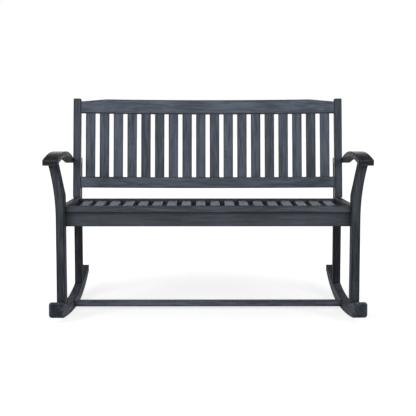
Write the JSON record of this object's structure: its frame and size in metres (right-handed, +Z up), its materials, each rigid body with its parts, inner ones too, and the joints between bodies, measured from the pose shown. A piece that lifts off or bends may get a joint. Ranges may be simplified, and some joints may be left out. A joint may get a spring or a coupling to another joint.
{
  "type": "rocking bench",
  "caption": "Slatted wooden porch bench with a bowed back, humped arms and curved rockers, stained dark grey.",
  "frame": {"origin": "on the floor, under the middle of the bench's bounding box, with the bench at rest on its rockers", "axes": "+Z up, -Y towards the front where the sitter's feet are, +X along the seat"},
  "size_m": [1.288, 0.825, 0.8959],
  "materials": {
    "back_slats": "dark charcoal-grey satin stain over visible grain",
    "seat_slats": "dark charcoal-grey satin stain over visible grain",
    "rockers": "dark charcoal-grey satin stain over visible grain",
    "arms": "dark charcoal-grey satin stain over visible grain",
    "legs": "dark charcoal-grey satin stain over visible grain",
    "back_rails": "dark charcoal-grey satin stain over visible grain",
    "seat_frame": "dark charcoal-grey satin stain over visible grain",
    "bolts": "black satin coating"
  },
  "bodies": {
    "root": {"back_lower_rail": "back_rails", "back_slat_01": "back_slats", "back_slat_02": "back_slats", "back_slat_03": "back_slats", "back_slat_04": "back_slats", "back_slat_05": "back_slats", "back_slat_06": "back_slats", "back_slat_07": "back_slats", "back_slat_08": "back_slats", "back_slat_09": "back_slats", "back_slat_10": "back_slats", "back_slat_11": "back_slats", "back_slat_12": "back_slats", "back_slat_13": "back_slats", "back_slat_14": "back_slats", "back_slat_15": "back_slats", "back_slat_16": "back_slats", "back_slat_17": "back_slats", "back_slat_18": "back_slats", "back_top_rail": "back_rails", "front_apron": "seat_frame", "left_arm": "arms", "left_back_post": "legs", "left_front_leg": "legs", "left_rear_leg": "legs", "left_rocker": "rockers", "left_seat_side_rail": "seat_frame", "middle_seat_support": "seat_frame", "post_bolts": "bolts", "rear_seat_rail": "seat_frame", "right_arm": "arms", "right_back_post": "legs", "right_front_leg": "legs", "right_rear_leg": "legs", "right_rocker": "rockers", "right_seat_side_rail": "seat_frame", "rocker_stretcher": "rockers", "seat_front_rail": "seat_frame", "seat_slat_01": "seat_slats", "seat_slat_02": "seat_slats", "seat_slat_03": "seat_slats", "seat_slat_04": "seat_slats", "seat_slat_05": "seat_slats", "seat_slat_06": "seat_slats", "seat_slat_07": "seat_slats", "seat_slat_08": "seat_slats", "seat_slat_09": "seat_slats", "seat_slat_10": "seat_slats", "seat_slat_11": "seat_slats", "seat_slat_12": "seat_slats", "seat_slat_13": "seat_slats", "seat_slat_14": "seat_slats", "seat_slat_15": "seat_slats", "seat_slat_16": "seat_slats", "seat_slat_17": "seat_slats", "seat_slat_18": "seat_slats", "stretcher_bolts": "bolts"}
  },
  "joints": []
}
